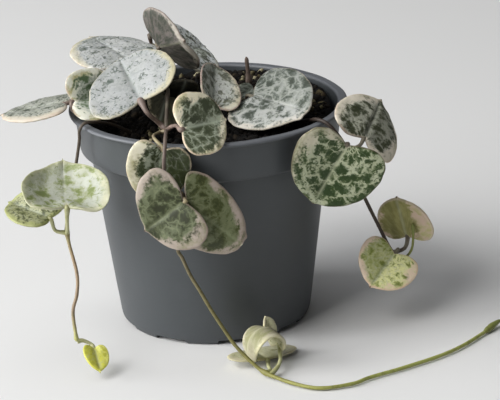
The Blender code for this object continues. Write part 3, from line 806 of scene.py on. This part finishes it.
def bent_sheet(source, height, upper):
    """One face of the leaf, bent along its length, marked as upper or under side."""
    rise = lifted + height
    along = curl_rate * flat_y
    moved = geo(source, "SetPosition", {"Position": vector(
        spread, calc("SINE", along) / curl_rate - rise * calc("SINE", along),
        (1 - calc("COSINE", along)) / curl_rate + rise * calc("COSINE", along))})
    return geo(moved, "StoreNamedAttribute", {"Name": "upper", "Value": upper},
               data_type="FLOAT")


marked = leaf_grid
for label, value in (("sheet", vector(flat_x, flat_y, 0.0)),
                     ("disk", vector(disk_x, disk_y, 0.0))):
    marked = geo(marked, "StoreNamedAttribute", {"Name": label, "Value": value},
                 data_type="FLOAT_VECTOR")
top_side = bent_sheet(
    marked, half + plump * leaf_in("Thickness") - groove * leaf_in("Groove"), 1.0)
low_side = bent_sheet(marked, half * -1.0 - groove * 0.12, 0.0)
low_side = geo(low_side, "FlipFaces")
blade = geo(joined(top_side, low_side), "MergeByDistance", {"Distance": RIM_WELD})
blade = geo(blade, "Transform", {"Rotation": leaf_in("Turn"), "Translation": leaf_in("Notch")})
stalk_line = geo(leaf_in(), "MeshToCurve")
stalk_tube = round_tube(stalk_line, leaf_in("Stalk Sides"), carried(leaf_tree, "girth"))
stalk_skin = geo(stalk_tube, "StoreNamedAttribute", {"Name": "stalk", "Value": 1.0},
                 data_type="FLOAT")
smooth = geo(set_down(joined(blade, stalk_skin), leaf_in("Place")), "SetShadeSmooth")
coated = geo(geo(smooth, "RealizeInstances"), "SetMaterial", {"Material": leaf_in("Coat")})
coated = geo(coated, "SetMaterial",
             {"Material": leaf_in("Stalk Coat"),
              "Selection": calc("GREATER_THAN", carried(leaf_tree, "stalk"), 0.5)})
plug(leaf_tree, leaf_tree.nodes.new("NodeGroupOutput").inputs[0], coated)


def marbled(name, seed, colours, margins, cover=0.5, patch=2.8, flecks=0.3, rim=0.25,
            vein="#b4bbae", veins=0.35, soft=1.0, under="#6e6b58", under_deep="#45443a",
            half=None, size=8.0, tip_tint="#4a3a2c"):
    """A leaf skin: silver ground, green islands, flecks, midrib, pale margin, plain back.

    The colours are two of the ground, two of the islands, two of the margin and the edge's.
    Each margin is where it lies, in degrees round the leaf, and its width in millimetres.
    """
    light, dull, green, deep, cream, lime, rim_tint = colours.split()
    made, tree, shader = blank_material(name, (
        ("Specular IOR Level", 0.40), ("Subsurface Weight", 0.06),
        ("Subsurface Scale", 0.0012), ("Subsurface Radius", (1.0, 0.9, 0.4))))
    sheet = stored(tree, "sheet", "Vector")
    x, y, _ = parts(sheet)
    round_x, round_y, _ = parts(stored(tree, "disk", "Vector"))
    reach = distance(round_x, round_y)
    spot = vector(x, y, seed * 7.3)
    wave_x, wave_y, wave_z = parts(cloud(spot, 0.45, 3.0, 0.55, 1))
    from_joint = y + 1.4
    fan = calc("ARCTAN2", x, from_joint)
    away = distance(x, from_joint)
    fanned = vector(fan * 6.5 + (wave_x - 0.5) * 2.6, away + (wave_y - 0.5) * 3.2, seed * 5.1)
    broad = cloud(fanned, 0.30, 3.0, 0.6)
    fine = cloud(spot, 1.7, 4.0, 0.62)
    coarse, small = [
        out(put(tree, "ShaderNodeTexVoronoi", {"Vector": fanned, "Scale": scale / patch},
                feature="DISTANCE_TO_EDGE"), "Distance")
        for scale in (1.0, 2.3)
    ]
    field = coarse * 1.7 + small * 0.45 + (broad - 0.5) * 1.3 + (fine - 0.5) * 0.75
    level = 0.33 + (0.5 - cover) * 1.0
    island = ease(field, level - 0.12 * soft, level + 0.14 * soft)
    inner = ease(field, level + 0.10, level + 0.45)
    near_rim = ease(reach, 0.40, 0.95)
    gate = cloud(spot, 0.42, 3.0, 0.6) + near_rim * 0.06
    squiggle = ease(abs(cloud(spot, 0.62, 1.5) - 0.5), 0.045, 0.014)
    squiggle = squiggle * ease(gate, 0.62 - flecks * 0.20, 0.68 - flecks * 0.20)
    dot = ease(cloud(spot, 1.3, 2.0, 0.5) + near_rim * 0.03, 0.74 - flecks * 0.17,
               0.78 - flecks * 0.17)
    fleck = calc("MAXIMUM", squiggle, dot * 0.8)
    ground = blended(ease(broad + (fine - 0.5) * 0.6, 0.34, 0.66), light, dull)
    # A half tints the ground on one side of the midrib: on some leaves it is the leaf's own
    # colour, on others painted shade on the side turned from the light.
    if half:
        side, other, strength = half
        ground = blended(ease(x * side, -0.4, 0.8) * strength, ground, other)
    ground = blended(ease(coarse, 0.10, 0.0) * ease(fine, 0.35, 0.55) * veins, ground, vein)
    skin = blended(island * (0.70 + ease(fine, 0.30, 0.62) * 0.28), ground, green)
    skin = blended(inner * 0.9, skin, deep)
    skin = blended(fleck * 0.85, skin, deep)
    midrib = calc("EXPONENT", (x + (wave_x - 0.5) * 0.7) * x * -7.0)
    ribs = ease(abs(calc("SINE", fan * 2.4 + (wave_z - 0.5) * 1.2)), 0.085, 0.0)
    lines = calc("MAXIMUM", midrib, ribs * 0.5 * ease(fine, 0.40, 0.55))
    skin = blended(lines * veins * ease(reach, 1.0, 0.7), skin, vein)
    inward = ((1 - reach) * size + (broad - 0.5) * 4.0 + (fine - 0.5) * 1.5
              + island * 0.5)
    depth = 0.0
    for turn, width in margins:
        aim_x, aim_y = math.sin(math.radians(turn)), math.cos(math.radians(turn))
        facing = (round_x * aim_x + round_y * aim_y) / calc("MAXIMUM", reach, 0.01)
        depth = calc("MAXIMUM", ease(facing, 0.1, 0.95) * width, depth)
    pale = blended(ease(broad + (fine - 0.5) * 0.2, 0.40, 0.66), cream, lime)
    edge = ease(inward - depth, 0.75, -0.6) * ease(depth, 0.05, 0.6)
    skin = blended(edge * 0.95, skin, pale)
    true_edge = (1 - reach) * size + (fine - 0.5) * 0.5
    outer = ease(true_edge, rim * 1.5, rim * 0.4) * ease(broad, 0.30, 0.60)
    skin = blended(outer * 0.8, skin, rim_tint)
    streak = cloud(vector(fan * 9.0, away * 0.35 + wave_x, seed * 3.3), 0.9, 4.0, 0.65)
    back = blended(ease(streak, 0.40, 0.62), under, under_deep)
    back = blended(island * 0.35, back, under_deep)
    back = blended(lines * 0.3, back, vein)
    back = blended(edge * 0.85, back, pale)
    back = blended(outer * 0.7, back, rim_tint)
    skin = blended(ease(stored(tree, "upper"), 0.45, 0.55), back, skin)
    at_tip = ease(abs(round_x), 0.075, 0.035) * ease(round_y, 0.955, 0.985)
    skin = blended(at_tip, skin, tip_tint)
    plug(tree, shader.inputs["Base Color"], skin)
    plug(tree, shader.inputs["Roughness"], 0.46 + fine * 0.12)
    pores = cloud(sheet, 9.0, 2.0)
    roughen(tree, shader, 0.4, 0.00018, pores * 0.2 + fine * 0.5 + island * -0.2
            + lines * -0.4 - ease(coarse, 0.10, 0.0) * 0.2)
    return made


def stalk_skin_of(name, first, second):
    """Plain stalk skin, one colour fading into another in soft patches."""
    made, tree, shader = blank_material(name, (("Roughness", 0.5),))
    spot = skin_spot(tree)
    plug(tree, shader.inputs["Base Color"],
         blended(ease(cloud(spot, 420.0, 3.0), 0.4, 0.6), first, second))
    roughen(tree, shader, 0.3, 0.0001, cloud(spot, 1800.0, 2.0))
    return made


PINK_STALK = stalk_skin_of("pink_brown_stalk", "#8d7a70", "#71625a")
TAN_STALK = stalk_skin_of("tan_stalk", "#9a8f6c", "#857860")
GREEN_STALK = stalk_skin_of("green_stalk", "#b9b98e", "#a3a373")
DARK_STALK = stalk_skin_of("grey_brown_stalk", "#7a7464", "#5d5348")

STALK = 0.42
STALK_STEP = 0.4
JOINT_FLARE = 0.38
LEAF_THICK = 1.0


def leaf_turn(heading, pitch, roll):
    """The leaf's own axes: across it, along it to its tip, and up out of its face."""
    h, p = math.radians(heading), math.radians(pitch)
    along = Vector((math.cos(p) * math.cos(h), math.cos(p) * math.sin(h), math.sin(p)))
    across = Vector((math.sin(h), -math.cos(h), 0))
    base = Matrix((across, along, across.cross(along))).transposed()
    return base @ Matrix.Rotation(math.radians(-roll), 3, "Y")


def on_stem(place):
    """The nearest point of any stem, its way there, and its thickness."""
    place = Vector(place)
    best = min(range(len(stem_runs)), key=lambda i: (stem_runs[i][0] - place).length)
    other = best + 1 if best + 1 < len(stem_runs) else best - 1
    if (stem_runs[other][0] - stem_runs[best][0]).length > 0.8:
        other = best - 1
    way = (stem_runs[other][0] - stem_runs[best][0]).normalized()
    return stem_runs[best][0], way, stem_runs[best][1]


def leaf(name, seed, at, angles, width, length, joins, colours, margins, skin, stalk_coat,
         fold, curl=0.0, lobes=0.42, via=None, thick=LEAF_THICK, cup=0.0,
         ripple=0.5, slim=0.30, groove=0.2, tip=0.055, tip_turn=0.0, stalk=STALK, flare=0.5,
         square=True, far_lobe=None):
    """One leaf with its stalk, from its notch to the stem it grows on."""
    coat = marbled(name.removeprefix("leaf_") + "_skin", seed, colours, margins, **skin)
    turn = leaf_turn(*angles)
    at = Vector(at)
    joint, way, girth = on_stem(joins)
    middle = Vector(via) if via else (
        at + turn @ Vector((0, -0.4, -0.15)) * (at - joint).length)
    side = middle - joint
    side = (side - way * side.dot(way)).normalized()
    end = joint + side * girth * 0.55
    route = [at + turn @ Vector((0, 0.7, -0.28)), at + turn @ Vector((0, -0.5, -0.2)), middle]
    if square and (middle - end).length > 3:
        route.append(joint + side * (girth + 1.2))
    route.append(end)
    points = smooth_route(route, STALK_STEP)
    last = len(points) - 1
    girths = []
    for i in range(last + 1):
        t = i / last
        wider = (flare * math.exp(-(t * 4.5) ** 2)
                 + JOINT_FLARE * math.exp(-((1 - t) * 6) ** 2))
        girths.append(stalk * (1 + wider) * (0.4, 0.8, 1)[min(i, 2)])
    base = polyline(name, points, girth=girths)
    values = dict(
        width=width, length=length, lobes=lobes, fold=float(fold), curl=float(curl),
        cup=cup, thickness=thick, ripple=ripple, seed=float(seed), slim=slim, groove=groove,
        tip=tip, tip_turn=float(tip_turn), place=POT_AXIS, coat=coat, stalk_coat=stalk_coat)
    made = grow(name + "_blade", leaf_tree, base, turn=turn.to_euler(), notch=at, **values)
    if far_lobe:
        spot, angles, width, length = far_lobe
        values.update(width=width, length=length, lobes=0.2, fold=18.0, curl=0.0, cells=31)
        extra = grow(name + "_lobe", leaf_tree, turn=leaf_turn(*angles).to_euler(),
                     notch=Vector(spot), **values)
        work = bmesh.new()
        work.from_mesh(made.data)
        work.from_mesh(extra.data)
        work.to_mesh(made.data)
        work.free()
        bpy.data.objects.remove(extra, do_unlink=True)
    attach(made, "root")
    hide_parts(name)


# The crown: two large silver leaves over the rim and two mottled ones behind them.
leaf("leaf_crown_front", 1, (-14.6, -17.3, 57.5), (108, 18, 29), 22.0, 16.1, FRONT_NODE,
     "#a8aaaa #9a9d9c #616b63 #4a544c #b9b294 #9d9662 #c2bba5", ((115, 0.7), (-150, 0.3)),
     dict(cover=0.10, flecks=0.48, rim=0.3, vein="#878e89", veins=0.45, under="#8a8a78"),
     PINK_STALK, fold=11, groove=0.38, stalk=0.5, flare=1.1, ripple=0.8)
leaf("leaf_crown_back", 2, (-17.8, 5.5, 59.9), (124, 7, -2), 22.1, 16.9, CROWN_LOW,
     "#cccecd #b3b7b5 #636b63 #505a52 #cfcaba #bdb994 #ad9f92", ((-45, 1.1),),
     dict(cover=0.24, flecks=0.6, vein="#838a84"), DARK_STALK, fold=-1)
leaf("leaf_rim_left_in", 3, (-30.0, -8.6, 55.1), (34, -3, -56), 14.6, 12.1, LEFT_NODE,
     "#dbdfd4 #b8c1b1 #6e8463 #566c4a #ffffef #d2cb93 #b5a294", ((-125, 2.2), (105, 1.7)),
     dict(patch=2.2, veins=0.4, size=6.5), PINK_STALK, fold=30,
     via=(-30.4, -9.6, 53.4))
leaf("leaf_rim_left_out", 4, (-32.5, -6.9, 54.2), (166, -13, 0), 18.0, 15.1,
     (-28.2, -6.3, 51.8), "#adafa6 #92958b #535b4e #3f463b #c9c2b3 #c3bba5 #c3b3a4",
     ((-90, 1.4), (0, 0.5)),
     dict(cover=0.28, flecks=0.85, rim=0.5), PINK_STALK, fold=-2,
     via=(-29.9, -6.2, 54.3))
leaf("leaf_crown_tall", 5, (-10.5, 2.6, 64.2), (-64, 18, 61), 18.5, 14.0, CROWN_TOP,
     "#9aa093 #80887a #4c5644 #384234 #b7b1a5 #938b7c #958982",
     ((0, 0.5), (-50, 0.7), (60, 0.4)),
     dict(vein="#93927f", under="#625c57", under_deep="#30352a"), DARK_STALK,
     fold=15, via=(-12.4, 12.5, 66.8))
leaf("leaf_crown_tall_back", 6, (-6.1, 7.6, 60.4), (63, -7, -39), 16.6, 12.3,
     (-12.8, 19.0, 59.6), "#fbffff #cbd0c5 #73786a #5b5e50 #ece6d6 #ccc8b0 #d6c9ba",
     ((90, 0.7),),
     dict(patch=2.4, flecks=0.5), DARK_STALK, fold=11, via=(-9.4, 13.0, 63.2))

# Leaves lying on the soil inside the pot.
leaf("leaf_inner_right", 7, (1.3, -9.9, 53.8), (87, 33, -38), 13.1, 11.2, INNER_NODE,
     "#d1d3cd #a9ada2 #757865 #52554a #e7e1cd #d2c8ad #cfb3aa",
     ((90, 1.5), (15, 0.9), (-150, 0.6)),
     dict(cover=0.52, patch=2.7, flecks=0.4, rim=0.3, half=(-1, "#c3c6bd", 0.4), size=6),
     PINK_STALK, fold=31)
leaf("leaf_inner_dark", 8, (-7.1, -8.0, 54.2), (-58, 53, 14), 9.8, 7.8, INNER_NODE,
     "#636756 #4a4d3d #363a2c #292a20 #7e7d67 #676652 #635f50", ((-50, 0.6),),
     dict(cover=0.6, rim=0.2, under="#37392f", under_deep="#24251e", size=4.5),
     DARK_STALK, fold=5)
leaf("leaf_shade", 9, (-8.7, -14.0, 56.8), (124, -63, -65), 10.2, 7.8, FRONT_NODE,
     "#81846b #666951 #4c4e3b #363829 #ddd1b2 #ada381 #a59781", ((-75, 0.7),),
     dict(cover=0.6, under="#55543f", under_deep="#383729", size=4.5), DARK_STALK,
     fold=2)
# Its -x half is painted darker: painted shade.
leaf("leaf_soil_right", 10, (10.6, -5.7, 53.8), (-41, -3, -27), 20.3, 15.6, RIGHT_NODE,
     "#bdbfbc #a1a69e #596158 #434a40 #dad4c8 #c6c1a8 #c9c0b0", ((45, 0.5), (120, 0.6)),
     dict(cover=0.57, patch=2.6, flecks=0.0, vein="#d9dbd6", veins=0.3, soft=1.3,
          half=(-1, "#7c8378", 0.6), tip_tint="#d8d2c0"),
     DARK_STALK, fold=4, via=(9.0, -4.2, 53.6), tip=0.045, tip_turn=20)
leaf("leaf_soil_small", 11, (10.6, 1.0, 53.3), (-143, -13, 13), 6.1, 4.7, RIGHT_NODE,
     "#6b7165 #545a4f #454b41 #363b31 #8b9075 #7a7e60 #7a7863", ((-100, 0.5),),
     dict(cover=0.6, patch=1.6, rim=0.2, size=2.8), DARK_STALK, fold=11,
     thick=0.8, ripple=0.25)

# Leaves hanging over the front of the pot.
# Its +x half is painted much darker: painted shade on the lobe turned from the light.
leaf("leaf_front_upper", 12, (-5.1, -33.0, 55.6), (33, -1, -58), 15.3, 10.8, FRONT_NODE_2,
     "#b2b9a3 #979d88 #535b41 #3f4632 #fbf3d9 #d9d3a9 #d5c1a8", ((-115, 1.8), (55, 1.4)),
     dict(cover=0.66, patch=2.7, flecks=0.1, vein="#bdc7b2", veins=0.75, soft=1.2,
          half=(1, "#2f3622", 0.55), size=6.5),
     PINK_STALK, fold=19, via=(-6.6, -27.0, 54.4))
# Its -x half is painted dark: a painted shadow cast by leaf_front_upper.
leaf("leaf_front_back", 13, (-9.8, -31.6, 50.4), (160, -74, 107), 14.4, 12.2, FRONT_NODE_2,
     "#8f9684 #707861 #2f3914 #222a0c #e0dbc4 #b8b38b #b7a992", ((85, 2.6),),
     dict(cover=0.62, patch=2.4, flecks=0.2, vein="#a4ac96", veins=0.25, soft=1.4,
          half=(-1, "#21270d", 0.9), size=6.2),
     TAN_STALK, fold=10, via=(-11.7, -28.6, 52.6), stalk=0.34)
leaf("leaf_front_low_left", 14, (-5.5, -38.6, 40.9), (-180, -36, 72), 19.5, 10.3,
     (-6.2, -33.3, 41.2), "#5d6449 #4b5234 #31371a #262b13 #a69a8f #8b886c #9f8e84",
     ((110, 1.2), (-95, 2.0)),
     dict(cover=0.58, patch=3.0, flecks=0.1, rim=0.35, vein="#798061", veins=0.6, soft=1.9),
     TAN_STALK, fold=3, via=(-7.4, -36.6, 41.8))
leaf("leaf_front_low_right", 15, (-4.6, -37.1, 39.6), (-3, -40, -75), 16.2, 14.8,
     (-5.8, -33.0, 38.7), "#6c7354 #5b603f #434a26 #343a1c #aea096 #8c886b #a5948b",
     ((-50, 1.4), (45, 1.3)),
     dict(flecks=0.1, rim=0.35, vein="#7e8665", soft=1.7, tip_tint="#dfdcbe"),
     TAN_STALK, fold=-18, lobes=0.66, via=(-4.4, -34.6, 39.2), slim=0.05,
     tip=0.03, tip_turn=-16)
leaf("leaf_drop_cup", 16, (-31.6, -28.2, 36.9), (96, 28, -4), 19.6, 13.4, DROP_NODE,
     "#bbbfb3 #acb09a #8a945c #76834c #c6c5aa #b9bc96 #b9bb99",
     tuple((turn, 1.0) for turn in range(-150, 181, 60)),
     dict(cover=0.47, patch=3.0, flecks=0.1, rim=0.4, vein="#caccc2", veins=0.3, soft=2.0,
          under="#a9b088", under_deep="#8b9468", half=(-1, "#e0e3d2", 0.15)),
     GREEN_STALK, fold=3, groove=0.08, via=(-31.8, -27.0, 32.6), cup=3.2,
     slim=0.8, ripple=1.5)
leaf("leaf_drop_side", 17, (-35.9, -24.7, 33.2), (145, 8, 19), 14.5, 11.2, DROP_NODE,
     "#a9ab8a #989a73 #585e36 #404627 #abaf7a #94995e #9a9e6b",
     tuple((turn, 0.8) for turn in range(-150, 181, 60)),
     dict(cover=0.30, patch=2.2, flecks=0.8, rim=0.35, size=6.2), GREEN_STALK,
     fold=22, via=(-34.8, -24.2, 30.1), square=False)
leaf("leaf_left_tip", 18, (-27.0, -34.7, 5.6), (-75, -31, 12), 5.9, 6.3, LEFT_END,
     "#d4d358 #cac951 #c0bf4a #b5b443 #ffff97 #efee74 #d0cf5b", ((-120, 0.7),),
     dict(cover=0.35, patch=1.8, flecks=0.2, rim=0.2, half=(1, "#c5c84a", 0.35), size=2.8),
     GREEN_STALK, fold=10, groove=0.08, slim=0.6, tip=0.08, thick=0.7,
     ripple=0.2)

# Leaves along the right vine.
# Its +x half is painted darker: painted shade on the half that faces away from the light, on
# top of the fold's own shading.
leaf("leaf_rim_right_fold", 19, (34.9, -16.3, 46.5), (69, 21, -48), 17.7, 13.3, RIM_NODE,
     "#c1c2b1 #979887 #464b34 #373c27 #e5ddcc #c0bb9f #cdbaa8", ((-60, 1.9), (118, 1.9)),
     dict(cover=0.58, patch=3.0, flecks=0.0, rim=0.35, vein="#a5aa9b", soft=1.5,
          half=(1, "#88897c", 0.7)),
     DARK_STALK, fold=-8, groove=0.8, ripple=0.9)
leaf("leaf_rim_right_round", 20, (30.5, -25.1, 47.7), (-179, -59, 96), 21.5, 15.0, RIM_NODE,
     "#abb196 #868e6b #294108 #1e3506 #c5bfaa #a7a589 #6b654d", ((120, 1.8),),
     dict(cover=0.66, patch=2.6, flecks=0.2, rim=0.22, vein="#b1b797", veins=0.6, soft=1.25),
     DARK_STALK, fold=10, via=(31.0, -23.0, 46.4), tip=0.025)
leaf("leaf_low_right_back", 21, (45.2, -2.9, 17.8), (-133, 70, -16), 13.8, 10.9, RIGHT_END,
     "#9a9c86 #84866e #5b5e41 #484b34 #e0c6b6 #c6c08b #d5c5b1", ((-100, 3.4), (110, 0.9)),
     dict(rim=0.35, soft=1.5, under="#a29e66", under_deep="#8c8953", size=6),
     DARK_STALK, fold=4, via=(44.4, -3.7, 14.9), square=False, stalk=0.46)
leaf("leaf_low_right_front", 22, (41.7, -8.9, 15.6), (-133, -31, 37), 14.3, 10.2, RIGHT_END,
     "#cbce99 #b3b77e #949f50 #76813e #efd9c2 #d3d68f #e2c3ae",
     ((80, 0.8), (-80, 1.4), (0, 0.8)),
     dict(cover=0.46, patch=2.0, flecks=0.1, rim=0.35, soft=2.3, half=(-1, "#f5f5b3", 0.9),
          size=6),
     DARK_STALK, fold=5, groove=0.3)

# The two young leaves at the foot, one flat and one curled right over.
FOOT_EDGE = " #c6c0a8 #cbc99b #d0c9a1"
FOOT_MARGINS = ((0, 0.8), (90, 0.8), (-90, 0.8))
FOOT_SKIN = dict(cover=0.15, patch=2.0, flecks=0.1, rim=0.3, vein="#e3e2bf", size=4.5,
                 under="#aba68c", under_deep="#94946c")
leaf("leaf_foot_flat", 23, (11.3, -33.3, 1.0), (121, -1, -5), 17.6, 6.6, (10.8, -41.2, 1.2),
     "#cccbae #b9b892 #a5a47a #97966c" + FOOT_EDGE, FOOT_MARGINS,
     FOOT_SKIN, GREEN_STALK, fold=6, thick=0.7, lobes=0.3,
     via=(11.6, -37.4, 1.1), ripple=0.1)
leaf("leaf_foot_curled", 24, (13.98, -32.34, 4.44), (66.8, 84.9, 35.3), 9.0, 15.6,
     (12.0, -42.1, 1.0), "#c9c8a6 #b5b48c #9a9970 #8f8e66" + FOOT_EDGE, FOOT_MARGINS,
     FOOT_SKIN, GREEN_STALK, fold=8.3, curl=233, lobes=0.3, thick=0.7,
     via=(14.2, -38.0, 2.5), ripple=0.15,
     far_lobe=((12.4, -30.9, 5.6), (150, 74, 15), 3.9, 4.6))
